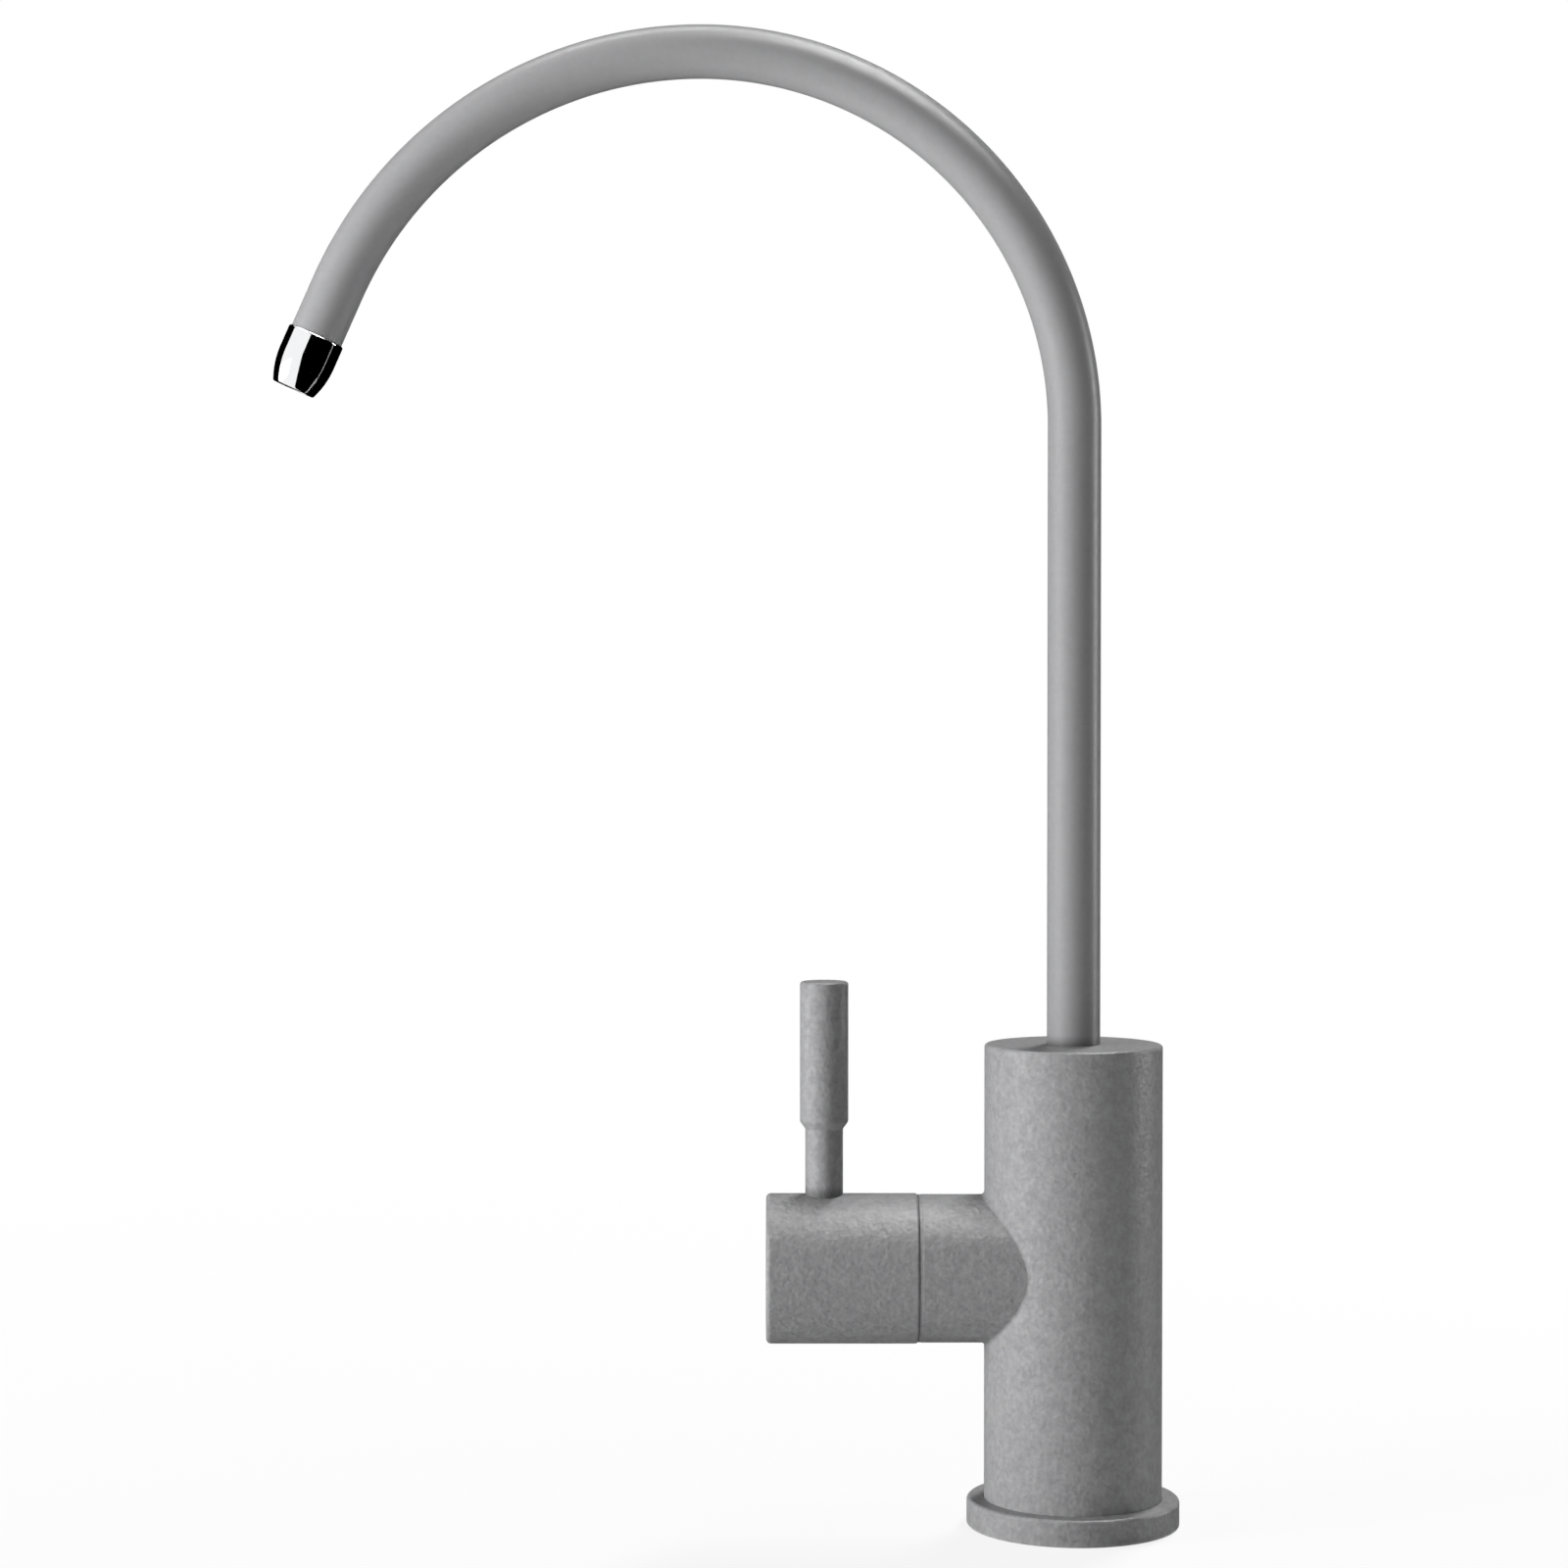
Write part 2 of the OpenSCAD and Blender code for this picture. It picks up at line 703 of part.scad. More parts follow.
// Swan-neck tube: a straight riser, a two-radius arch and a short straight tail
module spout_tube() {
    color(coat) union() {
        translate([0, 0, tube_z]) linear_extrude(rise_z - tube_z) tube_section();
        translate([-rise_bend_r, 0, rise_z]) rotate([90, 0, 0])
            rotate_extrude(angle = 90) translate([rise_bend_r, 0]) tube_section();
        translate([-rise_bend_r, 0, fall_z]) rotate([90, 0, 0]) rotate([0, 0, 90]) {
            rotate_extrude(angle = fall_sweep) translate([fall_bend_r, 0]) tube_section();
            rotate([0, 0, fall_sweep]) translate([fall_bend_r, -tail_lap, 0]) rotate([-90, 0, 0])
                linear_extrude(tube_tail_l + tail_lap) tube_section(tail_trim);
        }
    }
}

// Brass foot brazed into the tube, grooved for the split ring and the O-rings
module spout_foot() {
    color(brass) difference() {
        union() {
            translate([0, 0, foot_z]) cylinder(r = tube_r, h = foot_l);
            translate([0, 0, foot_z]) cylinder(r = foot_plug_r, h = foot_l + foot_plug_l);
        }
        translate([0, 0, foot_z - past]) cylinder(d = foot_bore_d, h = foot_l + foot_plug_l + 2 * past);
        for (z = foot_seal_z)
            translate([0, 0, z]) groove(tube_r, tube_r - foot_seal_d, foot_groove_w);
        translate([0, 0, split_ring_z]) groove(tube_r, split_ring_ri - running, split_groove_w);
    }
}

module spout_seals() {
    color(rubber) for (z = foot_seal_z)
        translate([0, 0, z]) o_ring(tube_r - foot_seal_d, foot_seal_d);
}

module spout_split_ring() {
    color(acetal) translate([0, 0, split_ring_z - split_ring_w / 2])
        sector(tube_r + split_ring_bite, split_ring_ri, split_ring_w,
            split_ring_gap_angle / 2, 360 - split_ring_gap_angle);
}

// Chrome mouthpiece: a straight band that curves in to the mouth, and a plug inside the tube
module outlet_nozzle() {
    color(chrome) along_outlet(0) rotate_extrude() difference() {
        polygon([
            [nozzle_bore_r, -nozzle_plug_l],
            [nozzle_plug_r, -nozzle_plug_l],
            [nozzle_plug_r, 0],
            [nozzle_r - nozzle_edge, 0],
            [nozzle_r, nozzle_edge],
            [nozzle_r, nozzle_l],
            [nozzle_mouth_r, nozzle_l],
            [nozzle_mouth_r, straightener_h],
            [nozzle_bore_r, straightener_h]
        ]);
        corner_round(nozzle_r, nozzle_band_l + nozzle_curve_r, nozzle_curve_r);
        translate([nozzle_plug_r - nozzle_seal_d, -nozzle_seal_h - nozzle_seal_d / 2 - slip])
            square([nozzle_seal_d + past, nozzle_seal_d + 2 * slip]);
    }
}

module nozzle_seal() {
    color(rubber) along_outlet(-nozzle_seal_h) o_ring(nozzle_plug_r - nozzle_seal_d, nozzle_seal_d);
}

// Drilled insert that calms the stream
module flow_straightener() {
    color(acetal) along_outlet(straightener_h) difference() {
        cylinder(r = nozzle_mouth_r - running, h = straightener_t);
        translate([0, 0, -past]) cylinder(r = straightener_hole_r, h = straightener_t + 2 * past);
        for (turn = [0 : 60 : 300])
            rotate([0, 0, turn]) translate([straightener_pitch_r, 0, -past])
                cylinder(r = straightener_hole_r, h = straightener_t + 2 * past);
    }
}

body();
base_flange();
base_gasket();
inlet_shank();
shank_seal();
deck_seal();
deck_washer();
lock_nut();
valve_gland();
gland_seal();
thrust_washer();
fixed_disc();
seat_seal();
handle_hub();
lever();
hub_set_screw();
hub_guide_ring();
valve_spindle();
spindle_seals();
spindle_clip();
stop_washer();
turning_disc();
spout_tube();
spout_foot();
spout_seals();
spout_split_ring();
outlet_nozzle();
nozzle_seal();
flow_straightener();
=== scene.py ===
"""Drinking water filter tap: the looks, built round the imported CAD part."""

import json
import math

import bmesh
import bpy
from mathutils import Matrix, Vector


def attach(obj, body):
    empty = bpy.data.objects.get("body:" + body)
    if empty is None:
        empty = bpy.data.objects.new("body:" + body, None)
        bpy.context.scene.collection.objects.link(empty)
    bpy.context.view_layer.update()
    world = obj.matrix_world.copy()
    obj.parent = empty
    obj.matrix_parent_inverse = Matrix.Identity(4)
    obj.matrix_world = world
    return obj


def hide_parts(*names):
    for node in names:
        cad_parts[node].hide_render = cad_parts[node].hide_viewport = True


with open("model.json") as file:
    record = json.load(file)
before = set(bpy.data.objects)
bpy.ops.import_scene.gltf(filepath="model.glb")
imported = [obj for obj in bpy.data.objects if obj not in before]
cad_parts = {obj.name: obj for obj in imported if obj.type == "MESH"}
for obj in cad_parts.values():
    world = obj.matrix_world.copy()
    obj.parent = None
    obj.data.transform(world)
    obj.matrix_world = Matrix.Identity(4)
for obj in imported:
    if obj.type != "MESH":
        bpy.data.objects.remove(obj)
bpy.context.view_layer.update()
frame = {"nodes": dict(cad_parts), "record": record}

# Pieces are drawn in millimetres, as in the CAD part, and scaled to metres when they are closed
MM = 0.001
SHARP_ANGLE = math.radians(40)

# How near points have to be to be merged, or to lie on a height, a ring, a rim or a cut
MERGE = 0.0005
NOZZLE_MERGE = 0.01
THREAD_MERGE = 0.002
NEAR = 0.001
RING_NEAR = 0.002
RIM_NEAR = 0.01
CUT_NEAR = 0.0001

# Steps round the pieces, along the riser and the nozzle's curve, across the fillet and round an edge
TUBE_STEPS = 72
RISER_STEPS = 12
LEVER_STEPS = 128
NOZZLE_STEPS = 128
NOZZLE_CURVE_STEPS = 14
FILLET_STEPS = 224
FILLET_ROWS = 8
LAND_STEPS = 160
SHANK_STEPS = 64
WASHER_STEPS = 96
EDGE_STEPS = 4
FLAG_STEPS = 32

# Column and side branch, with the land's radii as (inner, outer)
COLUMN_R = 18.4
COLUMN_TOP_Z = 99.6
BARREL_Z = 53.1
BRANCH_R = 15.25
BRANCH_L = 32.0
BRANCH_FILLET = 1.0
FILLET_SINK = 0.02
LAND_R = (13.0, 15.2)
LAND_H = 0.16
LAND_SEAT = 0.45
LAND_EDGE = 0.04
HUB_R = 15.45

# Lever: heights above the barrel's axis
LEVER_X = -51.6
LEVER_SEAT_H = 14.0
LEVER_THREAD_R = 3.0
LEVER_THREAD_L = 5.0
LEVER_STEM_R = 3.9
LEVER_R = 5.0
LEVER_TAPER_H = 29.0
LEVER_GRIP_H = 30.5
LEVER_TOP_H = 59.5
LEVER_STEP_EDGE = 0.3
LEVER_TOP_EDGE = 0.6

# Spout: a riser, two bends that meet at the crown, and a tail along the outlet
TUBE_R = 5.5
TUBE_WALL = 1.0
TUBE_Z = 80.9
TUBE_TAIL = 10.5
RISE_BEND_R = 77.0
RISE_Z = 227.1
FALL_BEND_R = 82.0
FALL_Z = RISE_Z + RISE_BEND_R - FALL_BEND_R
TIP_LEAN = math.radians(24)
OUTLET_WAY = Vector((-math.sin(TIP_LEAN), 0, -math.cos(TIP_LEAN)))

# Nozzle: heights down the outlet from its shoulder
NOZZLE_R = 5.95
NOZZLE_TIP_R = 4.45
NOZZLE_L = 12.0
NOZZLE_BAND = 4.8
NOZZLE_GAP = 0.05
NOZZLE_PLUG_R = 4.45
NOZZLE_PLUG_L = 8.0
NOZZLE_BORE_R = 3.15
NOZZLE_MOUTH_R = 3.75
NOZZLE_INSERT_H = 6.8
NOZZLE_SHOULDER_EDGE = 0.45
NOZZLE_TIP_EDGE = 0.22
NOZZLE_MOUTH_EDGE = 0.15

# Deck mounting: the thread's crest in shares of its pitch, and rings as (inner, outer) and (low, high)
SHANK_R = 5.55
SHANK_ROOT_R = 4.95
SHANK_BORE_R = 3.25
SHANK_FOOT_Z = -50.0
SHANK_TOP_Z = 16.1
SHANK_CHAMFER = 0.8
THREAD_PITCH = 1.058
THREAD_CREST = (0.42, 0.58)
THREAD_GAP_Z = (-25.5, -24.0)
GASKET_R = (13.1, 19.9)
GASKET_Z = (0.0, 1.5)
GASKET_EDGE = 0.25
DECK_SEAL_R = (5.65, 15.0)
DECK_SEAL_Z = (-15.0, -12.0)
DECK_SEAL_EDGE = 0.5
DECK_WASHER_R = (5.75, 15.0)
DECK_WASHER_Z = (-16.5, -15.0)
DECK_WASHER_EDGE = 0.25

# Textures: specks to each mottle, the relief's height in metres and the swing of the roughness
COAT_SPECKS = 2.2
SKIN_SPECKS = 3.0
COAT_RELIEF = 0.0003
FINE_RELIEF = 0.0001
ROUGH_SWING = 0.05

# Painted shade above a joint: its height and how much of the coat's colour is left at the joint
FOOT_SHADE_H = 2.5
FOOT_SHADE = 0.5

# The photograph's camera: the frame and focal length in pixels, the place in metres
FRAME_PX = 1600
FOCAL_PX = 3550
SENSOR_MM = 36.0
CAMERA_PLACE = (-0.0599, -0.7186, 0.1686)
CAMERA_TILT = math.radians(1.21)

# Studio, in metres: the floor shows its shade near the tap and is white further off
TAP_MIDDLE = Vector((-0.05, 0.0, 0.13))
ARCH_MIDDLE = Vector((-0.11, 0.0, 0.29))
ARCH_LAMP_PLACE = Vector((-0.12, -0.5, 0.30))
ARCH_LAMP_SIZE = 0.12
ARCH_LAMP_SPREAD = math.radians(30)
FLOOR_Z = -0.0002
FLOOR_HALF = 12.0
FLOOR_TONE = (0.7, 0.7, 0.7, 1.0)
FLOOR_FADE = (0.05, 0.6)
FLOOR_WHITE_NEAR = 0.86
FLAG_X = -0.159
FLAG_LIFT = 0.0005
FLAG_HOLE_R = 0.002
WHITE = (1.0, 1.0, 1.0, 1.0)
BLACK = (0.0, 0.0, 0.0, 1.0)


# Node groups
def add_node(tree, kind, inputs=None, **settings):
    """A shader node with its settings and the plain values of its sockets."""
    node = tree.nodes.new(kind)
    for key, value in settings.items():
        setattr(node, key, value)
    for key, value in (inputs or {}).items():
        node.inputs[key].default_value = value
    return node


def new_group(name, inputs, outputs):
    """A shader node group with named inputs and number outputs, and its entry, exit and place nodes."""
    group = bpy.data.node_groups.new(name, "ShaderNodeTree")
    for label, default in inputs.items():
        kind = "NodeSocketVector" if isinstance(default, tuple) else "NodeSocketFloat"
        socket = group.interface.new_socket(label, in_out="INPUT", socket_type=kind)
        socket.default_value = default
    for label in outputs:
        group.interface.new_socket(label, in_out="OUTPUT", socket_type="NodeSocketFloat")
    entry = add_node(group, "NodeGroupInput")
    leave = add_node(group, "NodeGroupOutput")
    place = add_node(group, "ShaderNodeTexCoord")
    return group, entry, leave, place


def grain_group():
    """Fine powder-coat grain: a soft mottle, small specks and the height of the texture."""
    scales = {"Mottle Scale": 700.0, "Speck Scale": 1600.0}
    group, entry, leave, place = new_group("powder_grain", scales, ("Shade", "Height"))
    mottle = add_node(group, "ShaderNodeTexNoise", {"Detail": 2.0, "Roughness": 0.55})
    speck = add_node(group, "ShaderNodeTexNoise", {"Detail": 1.0, "Roughness": 0.5})
    pebble = add_node(group, "ShaderNodeTexVoronoi", {"Randomness": 1.0}, feature="SMOOTH_F1")
    both = add_node(group, "ShaderNodeMix", {"Factor": 0.45}, data_type="FLOAT")
    shade = add_node(group, "ShaderNodeMapRange", {"From Min": 0.34, "From Max": 0.66})
    height = add_node(group, "ShaderNodeMath", {1: 0.6}, operation="MULTIPLY_ADD")
    for texture, scale in ((mottle, "Mottle Scale"), (speck, "Speck Scale"), (pebble, "Speck Scale")):
        group.links.new(place.outputs["Object"], texture.inputs["Vector"])
        group.links.new(entry.outputs[scale], texture.inputs["Scale"])
    group.links.new(mottle.outputs["Fac"], both.inputs["A"])
    group.links.new(speck.outputs["Fac"], both.inputs["B"])
    group.links.new(both.outputs["Result"], shade.inputs["Value"])
    group.links.new(pebble.outputs["Distance"], height.inputs[0])
    group.links.new(both.outputs["Result"], height.inputs[2])
    group.links.new(shade.outputs["Result"], leave.inputs["Shade"])
    group.links.new(height.outputs["Value"], leave.inputs["Height"])
    return group


def lathe_group():
    """Fine turning marks and stains of machined metal."""
    group, entry, leave, place = new_group("lathe_marks", {"Stretch": (1.0, 1.0, 1.0)}, ("Marks", "Stain"))
    stretch = add_node(group, "ShaderNodeMapping")
    marks = add_node(group, "ShaderNodeTexNoise", {"Scale": 900.0, "Detail": 3.0, "Roughness": 0.6})
    stain = add_node(group, "ShaderNodeTexNoise", {"Scale": 130.0, "Detail": 4.0, "Roughness": 0.6})
    group.links.new(place.outputs["Object"], stretch.inputs["Vector"])
    group.links.new(entry.outputs["Stretch"], stretch.inputs["Scale"])
    group.links.new(stretch.outputs["Vector"], marks.inputs["Vector"])
    group.links.new(place.outputs["Object"], stain.inputs["Vector"])
    group.links.new(marks.outputs["Fac"], leave.inputs["Marks"])
    group.links.new(stain.outputs["Fac"], leave.inputs["Stain"])
    return group


def foot_group():
    """Soft painted shade above a joint: dark at a low height and clear from a high one, in metres."""
    levels = {"Low": 0.0, "High": 1.0, "Dark": 0.5}
    group, entry, leave, place = new_group("painted_foot_shade", levels, ("Shade",))
    split = add_node(group, "ShaderNodeSeparateXYZ")
    rise = add_node(group, "ShaderNodeMapRange", interpolation_type="SMOOTHSTEP")
    group.links.new(place.outputs["Object"], split.inputs["Vector"])
    group.links.new(split.outputs["Z"], rise.inputs["Value"])
    for name, socket in (("Low", "From Min"), ("High", "From Max"), ("Dark", "To Min")):
        group.links.new(entry.outputs[name], rise.inputs[socket])
    group.links.new(rise.outputs["Result"], leave.inputs["Shade"])
    return group


# Materials
def bare_material(name):
    """A material with its node tree emptied, and the surface socket of its new output."""
    material = bpy.data.materials.new(name)
    material.use_nodes = True
    tree = material.node_tree
    tree.nodes.clear()
    out = add_node(tree, "ShaderNodeOutputMaterial")
    return material, tree, out.inputs["Surface"]


def finish_of(name, values):
    """A material with its Principled shader and the values that are the same all over."""
    material, tree, surface = bare_material(name)
    shader = add_node(tree, "ShaderNodeBsdfPrincipled", values)
    tree.links.new(shader.outputs["BSDF"], surface)
    return material, tree, shader


def ramp_to(tree, value, socket, stops):
    """Drives a colour or a number by a varying value, through a colour ramp's stops."""
    ramp = add_node(tree, "ShaderNodeValToRGB")
    while len(ramp.color_ramp.elements) < len(stops):
        ramp.color_ramp.elements.new(1.0)
    for element, (position, colour) in zip(ramp.color_ramp.elements, stops):
        element.position = position
        element.color = (*colour, 1.0) if len(colour) == 3 else (colour[0],) * 3 + (1.0,)
    tree.links.new(value, ramp.inputs["Fac"])
    tree.links.new(ramp.outputs["Color"], socket)


def bump_to(tree, height, shader, strength, distance):
    """Roughens a shader's normal by a varying height, over a distance in metres."""
    bump = add_node(tree, "ShaderNodeBump", {"Strength": strength, "Distance": distance})
    tree.links.new(height, bump.inputs["Height"])
    tree.links.new(bump.outputs["Normal"], shader.inputs["Normal"])


def speckled_coat(name, dark, light, rough, bump, mottle):
    """Grey granite-effect powder coat."""
    material, tree, shader = finish_of(name, {"Specular IOR Level": 0.5})
    grain = add_node(tree, "ShaderNodeGroup", node_tree=GRAIN)
    grain.inputs["Mottle Scale"].default_value = mottle
    grain.inputs["Speck Scale"].default_value = mottle * COAT_SPECKS
    ramp_to(tree, grain.outputs["Shade"], shader.inputs["Base Color"], [(0.0, dark), (1.0, light)])
    ramp_to(tree, grain.outputs["Shade"], shader.inputs["Roughness"],
            [(0.0, (rough + ROUGH_SWING,)), (1.0, (rough - ROUGH_SWING,))])
    bump_to(tree, grain.outputs["Height"], shader, bump, COAT_RELIEF)
    return material


def shade_foot(material, foot_z):
    """Paints a soft shade into a coat's colour just above the joint at its foot."""
    tree = material.node_tree
    shader = next(node for node in tree.nodes if node.type == "BSDF_PRINCIPLED")
    colour = shader.inputs["Base Color"].links[0].from_socket
    foot = add_node(tree, "ShaderNodeGroup", node_tree=FOOT)
    foot.inputs["Low"].default_value = foot_z * MM
    foot.inputs["High"].default_value = (foot_z + FOOT_SHADE_H) * MM
    foot.inputs["Dark"].default_value = FOOT_SHADE
    shade = add_node(tree, "ShaderNodeVectorMath", operation="SCALE")
    tree.links.new(colour, shade.inputs["Vector"])
    tree.links.new(foot.outputs["Shade"], shade.inputs["Scale"])
    tree.links.new(shade.outputs["Vector"], shader.inputs["Base Color"])


def polished_chrome():
    """Bright chrome plate with the faintest wipe marks."""
    material, tree, shader = finish_of("polished_chrome", {"Metallic": 1.0})
    marks = add_node(tree, "ShaderNodeGroup", node_tree=LATHE)
    ramp_to(tree, marks.outputs["Stain"], shader.inputs["Base Color"],
            [(0.3, (0.86, 0.87, 0.88)), (0.7, (0.92, 0.92, 0.93))])
    ramp_to(tree, marks.outputs["Marks"], shader.inputs["Roughness"], [(0.3, (0.03,)), (0.7, (0.07,))])
    return material


def machined_metal(name, dark, light, rough, stretch):
    """Turned brass or stainless steel with fine marks and slight stains."""
    material, tree, shader = finish_of(name, {"Metallic": 1.0})
    marks = add_node(tree, "ShaderNodeGroup", node_tree=LATHE)
    marks.inputs["Stretch"].default_value = stretch
    ramp_to(tree, marks.outputs["Stain"], shader.inputs["Base Color"], [(0.3, dark), (0.7, light)])
    ramp_to(tree, marks.outputs["Marks"], shader.inputs["Roughness"],
            [(0.25, (rough - 0.08,)), (0.75, (rough + 0.1,))])
    bump_to(tree, marks.outputs["Marks"], shader, 0.12, FINE_RELIEF)
    return material


def moulded(name, dark, light, rough, bump, mottle):
    """Rubber, acetal or ceramic: an even colour with a fine moulded skin."""
    material, tree, shader = finish_of(name, {"Specular IOR Level": 0.45})
    grain = add_node(tree, "ShaderNodeGroup", node_tree=GRAIN)
    grain.inputs["Mottle Scale"].default_value = mottle
    grain.inputs["Speck Scale"].default_value = mottle * SKIN_SPECKS
    ramp_to(tree, grain.outputs["Shade"], shader.inputs["Base Color"], [(0.0, dark), (1.0, light)])
    ramp_to(tree, grain.outputs["Shade"], shader.inputs["Roughness"],
            [(0.0, (rough - ROUGH_SWING,)), (1.0, (rough + ROUGH_SWING,))])
    bump_to(tree, grain.outputs["Height"], shader, bump, FINE_RELIEF)
    return material


# Tools for the pieces
def linked_object(bm, name, material):
    """Turns a bmesh into an object of the scene with one material."""
    mesh = bpy.data.meshes.new(name)
    bm.to_mesh(mesh)
    bm.free()
    mesh.materials.append(material)
    thing = bpy.data.objects.new(name, mesh)
    bpy.context.scene.collection.objects.link(thing)
    return thing


def piece_from(bm, name, body, material, replaced=()):
    """Closes a bmesh into a piece at the origin that rides on a body."""
    bmesh.ops.scale(bm, vec=(MM, MM, MM), verts=bm.verts)
    for face in bm.faces:
        face.smooth = True
    for edge in bm.edges:
        edge.smooth = len(edge.link_faces) == 2 and edge.calc_face_angle(0.0) < SHARP_ANGLE
    piece = linked_object(bm, name, material)
    even = piece.modifiers.new("even_light", "WEIGHTED_NORMAL")
    even.keep_sharp = True
    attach(piece, body)
    if replaced:
        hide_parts(*replaced)
    return piece


def draw_outline(bm, points):
    """An open line of edges through (radius, height) points."""
    verts = [bm.verts.new((r, 0.0, h)) for r, h in points]
    for pair in zip(verts, verts[1:]):
        bm.edges.new(pair)


def turn_round(bm, steps):
    """Spins the drawn line round the Z axis and makes its skin face outwards."""
    bmesh.ops.spin(bm, geom=bm.verts[:] + bm.edges[:], cent=(0, 0, 0), axis=(0, 0, 1),
                   angle=math.tau, steps=steps, use_merge=True)
    bmesh.ops.remove_doubles(bm, verts=bm.verts, dist=MERGE)
    bmesh.ops.recalc_face_normals(bm, faces=bm.faces)


def ring_edges(bm, r, h):
    """The edges of a turned shape that lie round it at one radius and height."""
    def on_ring(vert):
        return abs(math.hypot(vert.co.x, vert.co.y) - r) < RING_NEAR and abs(vert.co.z - h) < RING_NEAR
    return [edge for edge in bm.edges if all(on_ring(vert) for vert in edge.verts)]


def round_rings(bm, rings):
    """Rounds the corners of a turned shape, each given as (radius, height, rounding)."""
    for r, h, rounding in rings:
        bmesh.ops.bevel(bm, geom=ring_edges(bm, r, h), offset=rounding, offset_type="OFFSET",
                        affect="EDGES", segments=EDGE_STEPS, profile=0.5, material=-1, clamp_overlap=True)


def turned(points, rings, place, steps):
    """A turned piece from its outline, with rounded corners, put in its place."""
    bm = bmesh.new()
    draw_outline(bm, points)
    turn_round(bm, steps)
    round_rings(bm, rings)
    bmesh.ops.transform(bm, matrix=place, verts=bm.verts)
    return bm


def ring_corners(radii, heights):
    """The corners of a flat ring's section, from its (inner, outer) radii and (low, high) heights."""
    (r_in, r_out), (low, high) = radii, heights
    return [(r_in, low), (r_out, low), (r_out, high), (r_in, high)]


def open_edges(geom):
    """The edges among some new geometry that bound one face only."""
    return [part for part in geom if isinstance(part, bmesh.types.BMEdge) and len(part.link_faces) == 1]


def new_verts(geom):
    """The vertices among some new geometry."""
    return [part for part in geom if isinstance(part, bmesh.types.BMVert)]


def cut_across(bm, z, up=1, clear=False):
    """Cuts a shape across at a height, and may clear away the side that up points to."""
    bmesh.ops.bisect_plane(bm, geom=bm.verts[:] + bm.edges[:] + bm.faces[:], dist=CUT_NEAR,
                           plane_co=(0, 0, z), plane_no=(0, 0, up), clear_outer=clear)


# Pieces
def spout_tube():
    """Swan-neck tube: a straight riser, a two-radius arch and a short straight tail."""
    bm = bmesh.new()
    ring = bmesh.ops.create_circle(bm, cap_ends=False, radius=TUBE_R, segments=TUBE_STEPS)["verts"]
    bmesh.ops.translate(bm, vec=(0, 0, TUBE_Z), verts=ring)

    def drawn_on(edges, vec):
        made = bmesh.ops.extrude_edge_only(bm, edges=edges)["geom"]
        bmesh.ops.translate(bm, vec=vec, verts=new_verts(made))
        return open_edges(made)

    def bent(edges, centre_z, angle):
        geom = edges + list({vert for edge in edges for vert in edge.verts})
        made = bmesh.ops.spin(bm, geom=geom, cent=(-RISE_BEND_R, 0, centre_z), axis=(0, -1, 0),
                              angle=angle, steps=round(math.degrees(angle)))
        return open_edges(made["geom_last"])

    end = bm.edges[:]
    for _ in range(RISER_STEPS):
        end = drawn_on(end, (0, 0, (RISE_Z - TUBE_Z) / RISER_STEPS))
    end = bent(end, RISE_Z, math.radians(90))
    end = bent(end, FALL_Z, math.radians(90) - TIP_LEAN)
    drawn_on(end, OUTLET_WAY * TUBE_TAIL)
    bmesh.ops.remove_doubles(bm, verts=bm.verts, dist=MERGE)
    bmesh.ops.recalc_face_normals(bm, faces=bm.faces)
    piece = piece_from(bm, "spout_tube_skin", "spout", COAT_TUBE, ["spout_tube"])
    wall = piece.modifiers.new("wall", "SOLIDIFY")
    wall.thickness = TUBE_WALL * MM
    wall.offset = -1.0


def outlet_place():
    """The nozzle's frame: its z runs down the outlet from the nozzle's shoulder."""
    end_x = -RISE_BEND_R - FALL_BEND_R * math.cos(TIP_LEAN)
    end = Vector((end_x, 0, FALL_Z + FALL_BEND_R * math.sin(TIP_LEAN)))
    turn = Matrix.Rotation(math.pi + TIP_LEAN, 4, "Y")
    return Matrix.Translation(end + OUTLET_WAY * (TUBE_TAIL + NOZZLE_GAP)) @ turn


def outlet_nozzle():
    """Chrome mouthpiece: a band that curves in to the mouth, and a plug inside the tube."""
    taper_l = NOZZLE_L - NOZZLE_BAND
    taper_w = NOZZLE_R - NOZZLE_TIP_R
    curve_r = (taper_l ** 2 + taper_w ** 2) / (2 * taper_w)
    bm = bmesh.new()
    draw_outline(bm, [
        (NOZZLE_TIP_R, NOZZLE_L), (NOZZLE_MOUTH_R, NOZZLE_L), (NOZZLE_MOUTH_R, NOZZLE_INSERT_H),
        (NOZZLE_BORE_R, NOZZLE_INSERT_H), (NOZZLE_BORE_R, -NOZZLE_PLUG_L), (NOZZLE_PLUG_R, -NOZZLE_PLUG_L),
        (NOZZLE_PLUG_R, 0.0), (NOZZLE_R, 0.0), (NOZZLE_R, NOZZLE_BAND),
    ])
    band_end = max((v for v in bm.verts if abs(v.co.z - NOZZLE_BAND) < NEAR), key=lambda v: v.co.x)
    bmesh.ops.spin(bm, geom=[band_end], cent=(NOZZLE_R - curve_r, 0, NOZZLE_BAND), axis=(0, -1, 0),
                   angle=math.asin(taper_l / curve_r), steps=NOZZLE_CURVE_STEPS)
    bmesh.ops.remove_doubles(bm, verts=bm.verts, dist=NOZZLE_MERGE)
    turn_round(bm, NOZZLE_STEPS)
    round_rings(bm, [
        (NOZZLE_R, 0.0, NOZZLE_SHOULDER_EDGE), (NOZZLE_TIP_R, NOZZLE_L, NOZZLE_TIP_EDGE),
        (NOZZLE_MOUTH_R, NOZZLE_L, NOZZLE_MOUTH_EDGE),
    ])
    bmesh.ops.transform(bm, matrix=outlet_place(), verts=bm.verts)
    piece_from(bm, "nozzle_shell", "spout", CHROME, ["outlet_nozzle"])


